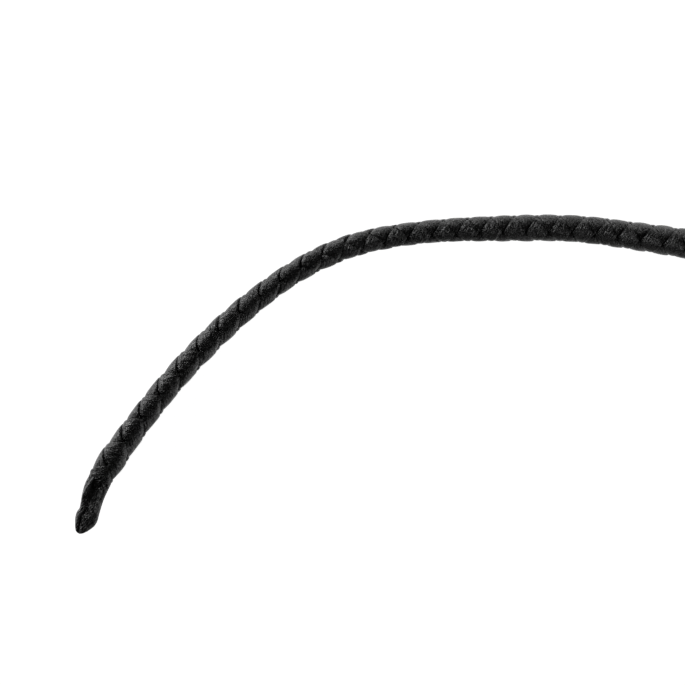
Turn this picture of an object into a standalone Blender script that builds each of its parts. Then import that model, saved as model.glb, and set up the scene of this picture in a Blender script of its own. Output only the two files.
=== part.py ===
"""Riding crop: a springy core under four plaited leather laces, with a sewn handle and a wrist strap.

The crop lies flat. Its handle runs along X with the butt towards +X, and its shaft sweeps round to
the tongue, at -X and -Y. Places along the crop are distances from the tongue's end, in metres.
"""
import math

import bpy
import numpy as np
from mathutils import Vector

# Whole crop
LENGTH = 0.650                  # tongue's end to the butt's face
GAP = 0.0003                    # between touching pieces
HANDLE_HEIGHT = 0.0128          # the handle's axis over the surface that the crop lies on
TIP_HEIGHT = 0.0040             # the shaft's axis at its thin end
BENDS = (                       # the shaft's curve: place, length, degrees turned
    (0.210, 0.040, 9.3),
    (0.130, 0.060, 16.3),
    (0.105, 0.190, 39.2),
    (0.018, 0.016, 17.8),
)
ROUTE_STEP = 0.0005

# Shaft
PLAIT_START, PLAIT_END = 0.0178, 0.4255
TIP_FLEX, REAR_FLEX = 0.150, 0.300
FLEX_GAP = 0.0012               # the solids stop this far each side of a flex station
CORE_START, CORE_END = 0.030, 0.472
BELLY_START = 0.240
LACE_THICKNESS = 0.00055
LACE_LIFT = 0.00062             # how far a lace rises over, and dips under, the plait's mean radius
LACE_FACETS = 0.83              # its flat facets dip to this share of the round it is laid on
LACE_HALF_WIDTH = math.radians(56)      # as a phase: 90 degrees would leave no gap between laces
SECTION_STEP = math.radians(60)         # three sections across each crossing
LACE_PAIRS = ((1, 0), (1, 1), (-1, 0), (-1, 1))         # winding sense, which of its two laces

# Tongue
TONGUE_HINGE = 0.0165
TONGUE_ROOT_END = 0.0285
TONGUE_THICKNESS = 0.0020

# Handle
COVER_START, COVER_END = 0.428, 0.622
COVER_RADIUS, COVER_INNER = 0.0093, 0.0073
HANDLE_CORE_RADIUS = 0.0070
HANDLE_CORE_START, HANDLE_CORE_END = 0.4270, 0.6320
KNOT_PLACES = {"front_knot": 0.4290, "butt_knot": 0.6110}
KNOT_LEADS, KNOT_BIGHTS = 3, 5
KNOT_RADIUS = 0.01095
KNOT_HALF_LENGTH = 0.0062
KNOT_LIFT = 0.00078
KNOT_LACE_WIDTH, KNOT_LACE_THICKNESS = 0.0034, 0.0007

# Butt cap and wrist strap
CAP_START, CAP_RADIUS, CAP_FACE_RADIUS = 0.6225, 0.0128, 0.0100
PIN_PLACE, PIN_RADIUS, PIN_HALF_LENGTH = 0.6430, 0.0015, 0.0118
SLOT_HALF_HEIGHT, SLOT_DEPTH = 0.0050, 0.0045           # the depth is measured from the pin
STRAP_THICKNESS, STRAP_WIDTH = 0.0018, 0.0090
STRAP_PARALLEL = 0.052          # from the pin to where the strap's two legs part
STRAP_LOOP, STRAP_HALF_SPREAD = 0.098, 0.027
STRAP_DROOP = 0.0078            # how much lower the loop's far end lies
RIVET_PLACE, RIVET_RADIUS, RIVET_HEAD_RADIUS, RIVET_HEAD = 0.0105, 0.0011, 0.0026, 0.0009
KEEPER_PLACE, KEEPER_HALF_LENGTH, KEEPER_WALL = 0.0215, 0.0045, 0.0014

BLACK_LEATHER = ((0.012, 0.012, 0.012), 0.45, 0.0)
LOOKS = {
    "leather": BLACK_LEATHER,
    "core": ((0.62, 0.60, 0.52), 0.40, 0.0),
    "belly": ((0.06, 0.045, 0.035), 0.60, 0.0),
    "thread": ((0.02, 0.02, 0.02), 0.55, 0.0),
    "wood": ((0.45, 0.30, 0.16), 0.55, 0.0),
    "cap": ((0.015, 0.015, 0.016), 0.30, 0.0),
    "steel": ((0.60, 0.60, 0.60), 0.25, 1.0),
}


def ease(value, start, end):
    """0 before start, 1 after end, and smooth between them."""
    share = np.clip((value - start) / (end - start), 0.0, 1.0)
    return share * share * (3 - 2 * share)


# The route -------------------------------------------------------------------------------------

def route_heading(place):
    """The shaft's direction in plan, towards the butt, measured from +X."""
    turned = sum(degrees * (1 - ease(place, centre - span / 2, centre + span / 2))
                 for centre, span, degrees in BENDS)
    return np.radians(turned)


def axis_height(place):
    return TIP_HEIGHT + (HANDLE_HEIGHT - TIP_HEIGHT) * ease(place, 0.04, 0.42)


PLACES = np.arange(0.0, LENGTH + ROUTE_STEP / 2, ROUTE_STEP)
HEADINGS = route_heading((PLACES[1:] + PLACES[:-1]) / 2)
ROUTE_X = np.concatenate(([0.0], np.cumsum(np.cos(HEADINGS)) * ROUTE_STEP))
ROUTE_Y = np.concatenate(([0.0], np.cumsum(np.sin(HEADINGS)) * ROUTE_STEP))
ROUTE_X += LENGTH - ROUTE_X[-1]
ROUTE_Y -= ROUTE_Y[-1]


def route_point(place):
    return Vector((np.interp(place, PLACES, ROUTE_X), np.interp(place, PLACES, ROUTE_Y),
                   axis_height(place)))


def route_frame(place):
    """The axis point, and the unit vectors along the crop, to its side and up from it."""
    heading = float(route_heading(place))
    rise = float(axis_height(place + ROUTE_STEP) - axis_height(place - ROUTE_STEP))
    along = Vector((math.cos(heading), math.sin(heading), rise / (2 * ROUTE_STEP))).normalized()
    side = Vector((-math.sin(heading), math.cos(heading), 0.0))
    return route_point(place), along, side, along.cross(side)


def around(place, angle, radius):
    """A point on the shaft's surface: angle 0 is its top, and +90 degrees its side."""
    centre, _, side, up = route_frame(place)
    return centre + (math.cos(angle) * up + math.sin(angle) * side) * float(radius)


# Meshes ----------------------------------------------------------------------------------------

def add_piece(name, points, faces, look, pivot=None):
    """A mesh object whose origin is at pivot, on its body's joint axis."""
    pivot = pivot or route_point(LENGTH)
    mesh = bpy.data.meshes.new(name)
    mesh.from_pydata([point - pivot for point in points], [], faces)
    mesh.validate()
    mesh.shade_smooth()
    mesh.set_sharp_from_angle(angle=math.radians(35))
    colour, roughness, metallic = LOOKS[look]
    material = bpy.data.materials.new(name)
    material.use_nodes = True
    shader = material.node_tree.nodes["Principled BSDF"]
    shader.inputs["Base Color"].default_value = (*colour, 1.0)
    shader.inputs["Roughness"].default_value = roughness
    shader.inputs["Metallic"].default_value = metallic
    mesh.materials.append(material)
    piece = bpy.data.objects.new(name, mesh)
    piece.location = pivot
    bpy.context.scene.collection.objects.link(piece)
    return piece


def loft(sections, closed=False):
    """Points and faces of a solid through sections, each a ring of as many points.

    Seen along the sections' order, each ring runs clockwise.
    """
    size = len(sections[0])
    count = len(sections)
    points = [point for section in sections for point in section]
    faces = []
    for index in range(count if closed else count - 1):
        here, there = index * size, (index + 1) % count * size
        for corner in range(size):
            after = (corner + 1) % size
            faces.append((here + corner, here + after, there + after, there + corner))
    if not closed:
        faces.append(tuple(reversed(range(size))))
        faces.append(tuple(range((count - 1) * size, count * size)))
    return points, faces


def turned_sections(profile, sides):
    """Rings about the crop's axis through (place, radius) pairs."""
    angles = [-2 * math.pi * index / sides for index in range(sides)]
    return [[around(place, angle, radius) for angle in angles] for place, radius in profile]


def add_tube(name, profile, look, sides, pivot=None):
    points, faces = loft(turned_sections(profile, sides))
    return add_piece(name, points, faces, look, pivot)


def add_ring(name, profile, look, sides, pivot=None):
    """A hollow turned piece. Its profile closes on itself: outer side first, then the bore."""
    points, faces = loft(turned_sections(profile, sides), closed=True)
    return add_piece(name, points, faces, look, pivot)


def cut(piece, cutter):
    """Takes the cutter's shape out of a piece."""
    cutter.hide_render = True
    cutter.display_type = "WIRE"
    modifier = piece.modifiers.new("cut_" + cutter.name, "BOOLEAN")
    modifier.operation = "DIFFERENCE"
    modifier.solver = "EXACT"
    modifier.object = cutter


def add_bar(name, centre, direction, profile, look, sides=24, pivot=None):
    """A turned piece on a straight axis through (distance, radius) pairs."""
    first = Vector((0.0, 0.0, 1.0)) if abs(direction.z) < 0.5 else Vector((1.0, 0.0, 0.0))
    second = first.cross(direction)
    angles = [-2 * math.pi * index / sides for index in range(sides)]
    sections = [[centre + direction * distance
                 + (math.cos(angle) * first + math.sin(angle) * second) * float(radius)
                 for angle in angles] for distance, radius in profile]
    points, faces = loft(sections)
    return add_piece(name, points, faces, look, pivot)


def add_box(name, low, high, look, pivot=None):
    sections = [[Vector((x, low[1], high[2])), Vector((x, low[1], low[2])),
                 Vector((x, high[1], low[2])), Vector((x, high[1], high[2]))]
                for x in (low[0], high[0])]
    points, faces = loft(sections)
    return add_piece(name, points, faces, look, pivot)


# Shaft -----------------------------------------------------------------------------------------

def plait_radius(place):
    """The plait's outer radius: a swelling at the tongue, a waist, then a taper to the handle."""
    swelling = 0.00030 * math.exp(-((place - 0.027) / 0.006) ** 2)
    waist = 0.00385 - 0.00038 * ease(place, 0.070, 0.110) + 0.00060 * ease(place, 0.155, 0.195)
    return waist + swelling + 0.00185 * ease(place, 0.190, 0.350)


def plait_pitch(place):
    """The length in which a lace winds once round the shaft."""
    tight = 0.0195 - 0.0021 * ease(place, 0.065, 0.095) - 0.0023 * ease(place, 0.155, 0.180)
    return tight + 0.0040 * ease(place, 0.250, 0.370)


def column_turn(place):
    """The crossings' rows wander a little round the shaft."""
    return math.radians(18 - 30 * ease(place, 0.105, 0.145))


def core_radius(place):
    return 0.00095 + 0.00105 * ease(place, 0.150, 0.470)


def winding_table(start, end):
    """The laces' winding at each place of a stretch that holds a whole number of crossings."""
    places = np.linspace(start, end, round((end - start) / ROUTE_STEP) + 1)
    rates = 2 * math.pi / plait_pitch((places[1:] + places[:-1]) / 2)
    winding = np.concatenate(([0.0], np.cumsum(rates)))
    quarter_turns = round(winding[-1] * (places[1] - places[0]) / (math.pi / 2))
    return places, winding * quarter_turns * (math.pi / 2) / winding[-1]


def lace_section(table, sense, number, along):
    """The four corners of a lace's section at a phase along it, level over each crossing."""
    places, winding = table
    height = 1.0 if math.cos(along) > 0 else -1.0
    edges = []
    for across in (-LACE_HALF_WIDTH, LACE_HALF_WIDTH):
        place = float(np.interp((along - across) / 2, winding, places))
        turn = sense * ((along + across) / 2 + number * math.pi) + column_turn(place)
        middle = plait_radius(place) - LACE_LIFT - LACE_THICKNESS / 2
        middle += sense * height * LACE_LIFT
        edges.append([around(place, turn, middle + offset * LACE_THICKNESS / 2)
                      for offset in (-1, 1)])
    (left_in, left_out), (right_in, right_out) = edges
    section = [left_in, right_in, right_out, left_out]
    return section if sense > 0 else section[::-1]


def add_lace(name, sense, number, start, end, pivot):
    """One stretch of a plaited lace, with a section at each edge and middle of its crossings."""
    table = winding_table(start, end)
    phases = np.arange(SECTION_STEP, 2 * table[1][-1] - SECTION_STEP / 2, SECTION_STEP)
    points, faces = loft([lace_section(table, sense, number, along) for along in phases])
    # A flat side is split along its short diagonal, which keeps its two facets off the core.
    faces = [face[1:] + face[:1] if index % 4 == 0 else face for index, face in enumerate(faces)]
    return add_piece(name, points, faces, "leather", pivot)


def stretch_profile(start, end, radius_at, step):
    count = max(1, round((end - start) / step))
    return [(place, float(radius_at(place))) for place in np.linspace(start, end, count + 1)]


def belly_radius(place):
    """The belly fills the plait, inside the laces' two layers."""
    return LACE_FACETS * (plait_radius(place) - 2 * LACE_LIFT - LACE_THICKNESS) - GAP


def add_belly(name, start, end, pivot):
    outer = stretch_profile(start, end, belly_radius, 0.010)
    bore = stretch_profile(start, end, lambda place: core_radius(place) + GAP, 0.010)
    return add_ring(name, outer + bore[::-1], "belly", 16, pivot)


def add_shaft():
    """The shaft in three stretches, parted at the two stations where it flexes."""
    stretches = (
        ("tip", PLAIT_START, TIP_FLEX - FLEX_GAP, route_point(TIP_FLEX)),
        ("mid", TIP_FLEX + FLEX_GAP, REAR_FLEX - FLEX_GAP, route_point(REAR_FLEX)),
        ("rear", REAR_FLEX + FLEX_GAP, PLAIT_END, None),
    )
    for stretch, start, end, pivot in stretches:
        for index, (sense, number) in enumerate(LACE_PAIRS, 1):
            add_lace(f"plait_lace_{index}_{stretch}", sense, number, start, end, pivot)
        core_start = max(start, CORE_START)
        core_end = CORE_END if stretch == "rear" else end
        add_tube(f"shaft_core_{stretch}", stretch_profile(core_start, core_end, core_radius, 0.0065),
                 "core", 12, pivot)
        if end > BELLY_START:
            add_belly(f"belly_{stretch}", max(start, BELLY_START), end, pivot)


# Tongue ----------------------------------------------------------------------------------------

def tongue_edges(place):
    """The tongue's two half widths: its end is round and slants to one side."""
    near = 0.0037 * math.sqrt(max(0.0, 1 - (1 - min(place / 0.0045, 1.0)) ** 2))
    far = 0.0039 * math.sqrt(max(0.0, 1 - (1 - min((place + 0.0004) / 0.0120, 1.0)) ** 2))
    return near, far


def flat_section(place, left, right, thickness):
    """A flat section across the crop, lying level."""
    centre, _, side, up = route_frame(place)
    out = up * thickness / 2
    return [centre - side * right + out, centre - side * right - out,
            centre + side * left - out, centre + side * left + out]


def add_tongue():
    hinge = route_point(TONGUE_HINGE)
    ends = [0.0002, 0.0007, 0.0015, 0.0027, 0.0045, 0.0070, 0.0100, 0.0130, 0.0160]
    sections = [flat_section(place, *tongue_edges(place), TONGUE_THICKNESS) for place in ends]
    add_piece("tongue", *loft(sections), "leather", hinge)
    root = [flat_section(place, 0.00075, 0.00075, 0.0009)
            for place in (TONGUE_HINGE + 0.0010, 0.0230, TONGUE_ROOT_END)]
    add_piece("tongue_root", *loft(root), "leather", route_point(TIP_FLEX))
    add_ring("tip_binding", [(0.0195, 0.00145), (0.0255, 0.00145), (0.0255, 0.00118),
                             (0.0195, 0.00118)], "thread", 16, route_point(TIP_FLEX))


# Handle ----------------------------------------------------------------------------------------

def add_handle():
    core = add_tube("handle_core", [(HANDLE_CORE_START, 0.0062), (0.4300, HANDLE_CORE_RADIUS),
                                    (HANDLE_CORE_END, HANDLE_CORE_RADIUS)], "wood", 32)
    bore_radius = core_radius(CORE_END) + 0.0004
    bore = add_bar("core_bore_cutter", route_point(HANDLE_CORE_START - 0.001), Vector((1, 0, 0)),
                   [(0.0, bore_radius), (CORE_END + GAP - HANDLE_CORE_START + 0.001, bore_radius)],
                   "wood")
    cut(core, bore)
    outer = [(COVER_START, 0.0086), (COVER_START + 0.0007, COVER_RADIUS),
             (COVER_END - 0.0007, COVER_RADIUS), (COVER_END, 0.0086)]
    add_ring("handle_cover", outer + [(COVER_END, COVER_INNER), (COVER_START, COVER_INNER)],
             "leather", 48)
    inner = float(plait_radius(PLAIT_END)) + GAP
    add_ring("front_binding", [(0.4140, inner + 0.0005), (0.4180, 0.0077), (0.4225, 0.0090),
                               (0.4266, 0.0091), (0.4266, inner), (0.4140, inner)],
             "thread", 32)


def ribbon_section(centre, travel, normal, width, thickness):
    """A flat section: its width lies across travel, and its thickness along normal."""
    normal = (normal - travel * normal.dot(travel)).normalized()
    across = travel.cross(normal) * width / 2
    out = normal * thickness / 2
    return [centre - across + out, centre + across + out,
            centre + across - out, centre - across - out]


def closed_ribbon(points, normals, width, thickness):
    """Sections of a flat lace whose two ends meet."""
    sections = []
    for index, (centre, normal) in enumerate(zip(points, normals)):
        travel = (points[(index + 1) % len(points)] - points[index - 1]).normalized()
        sections.append(ribbon_section(centre, travel, normal, width, thickness))
    return sections


def add_knot(name, middle):
    """A Turk's head: one endless lace that goes round KNOT_LEADS times and weaves itself."""
    count = 8 * 2 * KNOT_BIGHTS
    points, normals = [], []
    for index in range(count):
        phase = 2 * math.pi * (index + 0.5) / count
        weave = max(-1.0, min(1.0, 1.6 * math.sin(2 * KNOT_BIGHTS * phase)))
        place = middle + KNOT_HALF_LENGTH * math.cos(KNOT_BIGHTS * phase)
        turn = KNOT_LEADS * phase
        points.append(around(place, turn, KNOT_RADIUS + KNOT_LIFT * weave)
                      + Vector((0, 0, HANDLE_HEIGHT - float(axis_height(place)))))
        normals.append(Vector((0, math.sin(turn), math.cos(turn))))
    sections = closed_ribbon(points, normals, KNOT_LACE_WIDTH, KNOT_LACE_THICKNESS)
    return add_piece(name, *loft(sections, closed=True), "leather")


# Butt cap and wrist strap ----------------------------------------------------------------------

def add_cap():
    cap = add_tube("butt_cap", [(CAP_START, 0.0099), (0.6232, 0.0107), (0.6262, 0.0122),
                                (0.6300, CAP_RADIUS), (0.6425, CAP_RADIUS), (0.6468, 0.0120),
                                (0.6490, 0.0110), (LENGTH, CAP_FACE_RADIUS)], "cap", 48)
    pin_centre = route_point(PIN_PLACE)
    socket = add_bar("socket_cutter", route_point(CAP_START - 0.001), Vector((1, 0, 0)),
                     [(0.0, HANDLE_CORE_RADIUS + GAP),
                      (HANDLE_CORE_END + GAP - CAP_START + 0.001, HANDLE_CORE_RADIUS + GAP)],
                     "wood", 32)
    slot_low = (pin_centre.x - SLOT_DEPTH, -0.02, pin_centre.z - SLOT_HALF_HEIGHT)
    slot_high = (LENGTH + 0.005, 0.02, pin_centre.z + SLOT_HALF_HEIGHT)
    slot = add_box("slot_cutter", slot_low, slot_high, "cap")
    hole = add_bar("pin_hole_cutter", pin_centre, Vector((0, 0, 1)),
                   [(-0.02, PIN_RADIUS + GAP), (0.02, PIN_RADIUS + GAP)], "steel")
    for cutter in (socket, slot, hole):
        cut(cap, cutter)
    add_bar("strap_pin", pin_centre, Vector((0, 0, 1)),
            [(-PIN_HALF_LENGTH, 0.0012), (-PIN_HALF_LENGTH + 0.0003, PIN_RADIUS),
             (PIN_HALF_LENGTH - 0.0003, PIN_RADIUS), (PIN_HALF_LENGTH, 0.0012)], "steel")


def strap_half_outline():
    """One half of the strap's middle line, from behind the pin to the loop's far end."""
    leg = (STRAP_THICKNESS + GAP) / 2
    eye = PIN_RADIUS + GAP + STRAP_THICKNESS / 2
    outline = [(eye * math.cos(math.radians(turn)), eye * math.sin(math.radians(turn)))
               for turn in range(180, 44, -15)]
    outline += [(0.0034, 0.00135), (0.0050, leg), (0.0240, leg), (STRAP_PARALLEL, leg)]
    for degrees in range(15, 181, 11):
        turn = math.radians(degrees)
        spread = math.sin(turn) * math.sin(turn / 2) ** 2 / 0.65
        outline.append((STRAP_PARALLEL + STRAP_LOOP * (1 - math.cos(turn)) / 2,
                        leg * math.cos(turn / 2) ** 2 + STRAP_HALF_SPREAD * spread))
    return outline


def strap_height(distance):
    """The strap's middle over the surface, at a distance behind the pin."""
    return HANDLE_HEIGHT - STRAP_DROOP * float(
        ease(distance, STRAP_PARALLEL, STRAP_PARALLEL + STRAP_LOOP))


def add_strap():
    """The wrist strap: an eye round the pin, two legs side by side, and an open loop."""
    pin_centre = route_point(PIN_PLACE)
    half = strap_half_outline()
    outline = half + [(x, -y) for x, y in reversed(half[1:-1])]
    points = [Vector((pin_centre.x + x, y, strap_height(x))) for x, y in outline]
    normals = []
    for index, point in enumerate(points):
        travel = points[(index + 1) % len(points)] - points[index - 1]
        normals.append(Vector((travel.y, -travel.x, 0)).normalized())
    sections = closed_ribbon(points, normals, STRAP_WIDTH, STRAP_THICKNESS)
    strap = add_piece("wrist_strap", *loft(sections, closed=True), "leather", pin_centre)
    rivet_centre = pin_centre + Vector((RIVET_PLACE, 0, 0))
    reach = STRAP_THICKNESS + GAP / 2 + GAP
    hole = add_bar("rivet_hole_cutter", rivet_centre, Vector((0, 1, 0)),
                   [(-0.004, RIVET_RADIUS + GAP), (0.004, RIVET_RADIUS + GAP)], "steel")
    cut(strap, hole)
    half_rivet = [(-reach - RIVET_HEAD, 0.0014), (-reach - RIVET_HEAD * 0.6, 0.0023),
                  (-reach, RIVET_HEAD_RADIUS), (-reach, RIVET_RADIUS)]
    profile = half_rivet + [(-distance, radius) for distance, radius in reversed(half_rivet)]
    add_bar("strap_rivet", rivet_centre, Vector((0, 1, 0)), profile, "steel", 24, pin_centre)


def add_keeper():
    """The sliding leather keeper, a flat sleeve round both legs of the strap."""
    centre = route_point(PIN_PLACE) + Vector((KEEPER_PLACE, 0, 0))
    inner = (STRAP_THICKNESS + GAP / 2 + GAP, STRAP_WIDTH / 2 + GAP)
    outer = (inner[0] + KEEPER_WALL, inner[1] + KEEPER_WALL)
    sections = []
    for x, (half_y, half_z) in ((-1, outer), (1, outer), (1, inner), (-1, inner)):
        corner = [(-half_y, half_z), (-half_y, -half_z), (half_y, -half_z), (half_y, half_z)]
        sections.append([centre + Vector((x * KEEPER_HALF_LENGTH, y, z)) for y, z in corner])
    add_piece("loop_keeper", *loft(sections, closed=True), "leather", centre)


# Whole crop ------------------------------------------------------------------------------------

def put_origin_under_the_middle(pieces):
    """Moves the crop so that the middle of its box's underside is the world's origin."""
    bpy.context.view_layer.update()
    corners = [piece.matrix_world @ vertex.co for piece in pieces if not piece.hide_render
               for vertex in piece.data.vertices]
    low = [min(corner[axis] for corner in corners) for axis in range(3)]
    high = [max(corner[axis] for corner in corners) for axis in range(3)]
    shift = Vector(((low[0] + high[0]) / 2, (low[1] + high[1]) / 2, low[2]))
    for piece in pieces:
        piece.location -= shift


def main():
    for old in list(bpy.data.objects):
        bpy.data.objects.remove(old)
    add_shaft()
    add_tongue()
    add_handle()
    for name, middle in KNOT_PLACES.items():
        add_knot(name, middle)
    add_cap()
    add_strap()
    add_keeper()
    put_origin_under_the_middle(list(bpy.data.objects))


main()
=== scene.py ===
"""The looks of the riding crop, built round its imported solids.

Places along the crop are distances from the tongue's end, in metres. A turn goes round the crop's
axis: 0 is its top, and +90 degrees the side that its curve opens away from. The route repeats the
solids' route, but the plait has its own pitch and phase, and its rows of crossings twist.
"""
import math

import bmesh
import bpy
import numpy as np
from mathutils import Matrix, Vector


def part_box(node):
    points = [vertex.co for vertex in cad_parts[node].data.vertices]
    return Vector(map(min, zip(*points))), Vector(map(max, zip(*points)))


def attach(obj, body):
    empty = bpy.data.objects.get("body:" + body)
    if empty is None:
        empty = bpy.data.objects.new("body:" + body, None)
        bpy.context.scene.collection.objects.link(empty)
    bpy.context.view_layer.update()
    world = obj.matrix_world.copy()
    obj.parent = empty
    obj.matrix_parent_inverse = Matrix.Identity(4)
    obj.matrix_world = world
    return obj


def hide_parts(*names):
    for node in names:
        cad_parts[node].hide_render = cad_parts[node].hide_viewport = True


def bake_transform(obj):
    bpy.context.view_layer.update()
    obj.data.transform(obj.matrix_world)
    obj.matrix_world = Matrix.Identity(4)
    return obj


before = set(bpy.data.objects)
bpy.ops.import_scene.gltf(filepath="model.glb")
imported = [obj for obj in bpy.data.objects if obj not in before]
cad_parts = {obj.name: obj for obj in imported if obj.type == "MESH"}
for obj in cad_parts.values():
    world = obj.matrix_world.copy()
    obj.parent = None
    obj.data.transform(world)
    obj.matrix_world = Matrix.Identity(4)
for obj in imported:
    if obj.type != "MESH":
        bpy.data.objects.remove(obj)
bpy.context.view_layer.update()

# The route, as the solids have it
LENGTH = 0.650
HANDLE_HEIGHT, TIP_HEIGHT = 0.0128, 0.0040
BENDS = ((0.210, 0.040, 9.3), (0.130, 0.060, 16.3), (0.105, 0.190, 39.2), (0.018, 0.016, 17.8))
ROUTE_STEP = 0.0005
PIN_PLACE, PIN_RADIUS = 0.6430, 0.0015
GAP = 0.0003

# Where the joints are, and a reach either side of each; no piece is bent by them
TONGUE_HINGE, TIP_FLEX, REAR_FLEX = 0.0165, 0.150, 0.300
TONGUE_SPREAD, FLEX_SPREAD = 0.0050, 0.045

# Plait
PLAIT_START, PLAIT_END = 0.0125, 0.4255
TWIST_START, TWIST_END = 0.110, 0.160   # where the rows of crossings twist
WINDING_START = 0.0178
PHASE_SHIFT = math.radians(66)          # the laces' phase at WINDING_START
LACE_PAIRS = ((1, 0), (1, 1), (-1, 0), (-1, 1))         # winding sense, which of its two laces
LACE_HALF_WIDTH, LACE_THICKNESS, LACE_CORNER = 0.0035, 0.0010, 0.00045
LACE_LIFT = 0.00044                     # how far it rises over a crossing, and sinks under one
LACE_REACH = math.radians(86)           # half its width as a phase: 90 degrees leaves no gap
LACE_TILT = 0.00026                     # how much its edge towards the handle stands proud
TILT_LOSS = 0.8                         # the share of the tilt that is gone past the twist
LACE_CROWN = 0.00018
CROSSING_SOFTNESS = 0.42
PHASE_STEP = math.radians(15)
END_GAP = math.radians(1)               # the phase left free at each end of a length of lace
LACE_CUTS = (0.034, 0.225)              # a lace's three lengths meet out of sight under a crossing
RESTING_HEIGHT = 0.00005                # laces and knots press flat where they touch the floor

# Handle
COVER_START, COVER_END, COVER_RADIUS = 0.428, 0.622, 0.0093
KNOT_PLACES = {"front_knot": 0.4290, "butt_knot": 0.6110}
KNOT_LEADS, KNOT_BIGHTS = 3, 5
KNOT_HALF_LENGTH, KNOT_LIFT, KNOT_PASS_OFFSET = 0.0056, 0.00050, 0.00195
KNOT_LACE_WIDTH, KNOT_LACE_THICKNESS = 0.0036, 0.0010
BINDING_OUTLINE = ((0.4138, 0.0062), (0.4150, 0.0066), (0.4180, 0.0075), (0.4225, 0.0087),
                   (0.4266, 0.0089))
CAP_OUTLINE = ((0.6225, 0.0099), (0.6232, 0.0107), (0.6262, 0.0122), (0.6300, 0.0126),
               (0.6362, 0.01278), (0.6425, 0.0126), (0.6468, 0.0120), (0.6490, 0.0110),
               (0.6500, 0.0100))
CAP_GROOVES = (0.6318, 0.6338)
GROOVE_DEPTH, GROOVE_HALF_WIDTH = 0.00028, 0.00032
SLOT_HALF_HEIGHT, SLOT_DEPTH = 0.0050, 0.0045
SLOT_OPENING, CUTTER_SPAN = 0.012, 0.04                 # both reach well past the cap
CARVED_EDGE, CARVED_EDGE_STEPS = 0.00035, 3
COVER_ROUNDING = 0.0007
SEAM_TURN = math.radians(-62)
SEAM_STITCH_START, SEAM_STITCH_END, SEAM_STITCH_SPACING = 0.4370, 0.6035, 0.0040
SEAM_THREAD_RADIUS, STRAP_THREAD_RADIUS = 0.00028, 0.00022
WINDING_THREAD = 0.00055

# Wrist strap
STRAP_THICKNESS, STRAP_WIDTH = 0.0018, 0.0090
STRAP_PARALLEL, STRAP_LOOP, STRAP_HALF_SPREAD, STRAP_DROOP = 0.052, 0.098, 0.027, 0.0078
STRAP_STITCH_HEIGHT, STRAP_STITCH_START = 0.0034, 0.014
STRAP_STITCH_POINTS, STRAP_STITCH_STRIDE = 5, 6         # counted in the strap line's own points
KEEPER_PLACE, KEEPER_HALF_LENGTH, KEEPER_WALL, KEEPER_CORNER = 0.0215, 0.0045, 0.0014, 0.0009

# View and light
VIEW_CENTRE = (-0.2887, -0.0011, 0.0060)
VIEW_WIDTH, VIEW_ROLL = 0.226, 9.05
LENS, SENSOR = 85.0, 36.0
PALE_SIDE = 99.0                        # the azimuth of the surroundings' palest side
FLOOR_HALF_WIDTH = 8.0


def ease(value, start, end):
    """0 before start, 1 after end, and smooth between them."""
    share = np.clip((value - start) / (end - start), 0.0, 1.0)
    return share * share * (3 - 2 * share)


# The route -------------------------------------------------------------------------------------

def route_heading(place):
    turned = sum(degrees * (1 - ease(place, centre - span / 2, centre + span / 2))
                 for centre, span, degrees in BENDS)
    return np.radians(turned)


def axis_height(place):
    return TIP_HEIGHT + (HANDLE_HEIGHT - TIP_HEIGHT) * ease(place, 0.04, 0.42)


PLACES = np.arange(-0.002, LENGTH + ROUTE_STEP / 2, ROUTE_STEP)
HEADINGS = route_heading((PLACES[1:] + PLACES[:-1]) / 2)
ROUTE_X = np.concatenate(([0.0], np.cumsum(np.cos(HEADINGS)) * ROUTE_STEP))
ROUTE_Y = np.concatenate(([0.0], np.cumsum(np.sin(HEADINGS)) * ROUTE_STEP))
PIN_LOW, PIN_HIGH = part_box("strap_pin")
PIN_CENTRE = (PIN_LOW + PIN_HIGH) / 2
ROUTE_X += PIN_CENTRE.x - np.interp(PIN_PLACE, PLACES, ROUTE_X)
ROUTE_Y += PIN_CENTRE.y - np.interp(PIN_PLACE, PLACES, ROUTE_Y)
FLOOR_SHIFT = PIN_CENTRE.z - HANDLE_HEIGHT


def stack(*parts):
    return np.stack(np.broadcast_arrays(*parts), axis=-1)


def route_frame(place):
    """The axis points, and the unit vectors along the crop, to its side and up from it."""
    place = np.asarray(place, float)
    heading = route_heading(place)
    rise = (axis_height(place + ROUTE_STEP) - axis_height(place - ROUTE_STEP)) / (2 * ROUTE_STEP)
    along = stack(np.cos(heading), np.sin(heading), rise)
    along /= np.linalg.norm(along, axis=-1, keepdims=True)
    side = stack(-np.sin(heading), np.cos(heading), 0.0)
    centre = stack(np.interp(place, PLACES, ROUTE_X), np.interp(place, PLACES, ROUTE_Y),
                   axis_height(place) + FLOOR_SHIFT)
    return centre, along, side, np.cross(along, side)


def around(place, turn, radius, flatness=1.0):
    """Points round the crop's axis; flatness squeezes them towards its level middle."""
    centre, _, side, up = route_frame(place)
    across = stack(radius * np.sin(turn))
    out = stack(radius * np.cos(turn) * flatness)
    return centre + across * side + out * up


def route_point(place):
    return tuple(float(value) for value in route_frame(place)[0])


# Meshes ----------------------------------------------------------------------------------------

def add_piece(name, points, faces, material, lay, edge=None):
    """A smooth mesh object. lay holds each face corner's place on the leather, in metres, and edge
    how near each point is to a cut edge, from 0 to 1; materials read both."""
    mesh = bpy.data.meshes.new(name)
    mesh.from_pydata(points, [], faces)
    mesh.shade_smooth()
    mesh.uv_layers.new(name="lay").data.foreach_set("uv", np.asarray(lay, np.float32).ravel())
    if edge is not None:
        mesh.attributes.new("edge", "FLOAT", "POINT").data.foreach_set(
            "value", np.asarray(edge, np.float32).ravel())
    mesh.materials.append(material)
    piece = bpy.data.objects.new(name, mesh)
    bpy.context.scene.collection.objects.link(piece)
    return piece


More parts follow.
